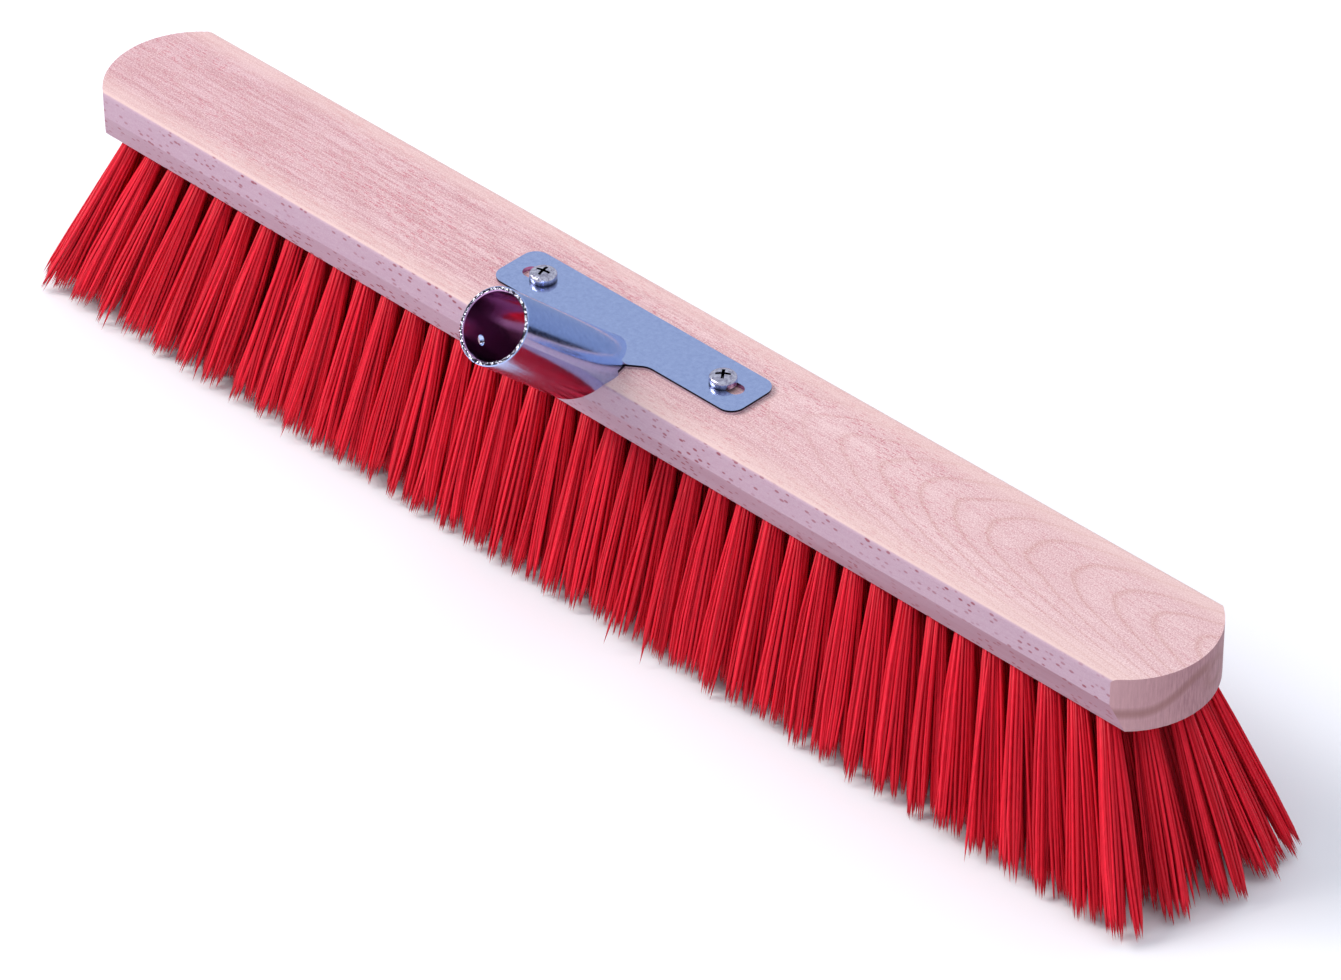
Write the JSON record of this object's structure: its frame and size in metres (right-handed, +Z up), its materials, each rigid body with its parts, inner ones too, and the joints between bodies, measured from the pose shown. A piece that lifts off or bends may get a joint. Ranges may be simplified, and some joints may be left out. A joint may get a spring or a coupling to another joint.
{
  "type": "push broom head",
  "caption": "Wide push broom head: a long beech block with rounded ends, splayed red plastic bristle tufts and an angled steel socket for a handle.",
  "frame": {"origin": "on the floor under the centre of the block, in the plane of the bristle tips", "axes": "+Z up; X along the block; -Y is the side where the handle leaves the socket"},
  "size_m": [0.649, 0.1402, 0.1603],
  "materials": {
    "beech": "sanded beech, unvarnished",
    "plated_steel": "zinc-plated pressed steel sheet with a bluish shine",
    "screw_steel": "bright plated screws",
    "bristle": "red extruded plastic filaments",
    "anchor_wire": "flat steel wire"
  },
  "bodies": {
    "head": {"block": "beech", "handle_socket": "plated_steel", "tufts_left_20": "bristle", "tufts_left_19": "bristle", "tufts_left_18": "bristle", "tufts_left_17": "bristle", "tufts_left_16": "bristle", "tufts_left_15": "bristle", "tufts_left_14": "bristle", "tufts_left_13": "bristle", "tufts_left_12": "bristle", "tufts_left_11": "bristle", "tufts_left_10": "bristle", "tufts_left_09": "bristle", "tufts_left_08": "bristle", "tufts_left_07": "bristle", "tufts_left_06": "bristle", "tufts_left_05": "bristle", "tufts_left_04": "bristle", "tufts_left_03": "bristle", "tufts_left_02": "bristle", "tufts_left_01": "bristle", "tufts_middle": "bristle", "tufts_right_01": "bristle", "tufts_right_02": "bristle", "tufts_right_03": "bristle", "tufts_right_04": "bristle", "tufts_right_05": "bristle", "tufts_right_06": "bristle", "tufts_right_07": "bristle", "tufts_right_08": "bristle", "tufts_right_09": "bristle", "tufts_right_10": "bristle", "tufts_right_11": "bristle", "tufts_right_12": "bristle", "tufts_right_13": "bristle", "tufts_right_14": "bristle", "tufts_right_15": "bristle", "tufts_right_16": "bristle", "tufts_right_17": "bristle", "tufts_right_18": "bristle", "tufts_right_19": "bristle", "tufts_right_20": "bristle", "anchors_front_outer": "anchor_wire", "anchors_front_inner": "anchor_wire", "anchors_middle": "anchor_wire", "anchors_rear_inner": "anchor_wire", "anchors_rear_outer": "anchor_wire"},
    "screw_left": {"screw_left": "screw_steel"},
    "screw_right": {"screw_right": "screw_steel"}
  },
  "joints": [
    {"name": "screw_left_turn", "type": "hinge", "parent": "head", "child": "screw_left", "pos_m": [-0.05075, 0, 0.107], "axis": [0, 0, 1], "continuous": true},
    {"name": "screw_right_turn", "type": "hinge", "parent": "head", "child": "screw_right", "pos_m": [0.05075, 0, 0.107], "axis": [0, 0, 1], "continuous": true}
  ]
}
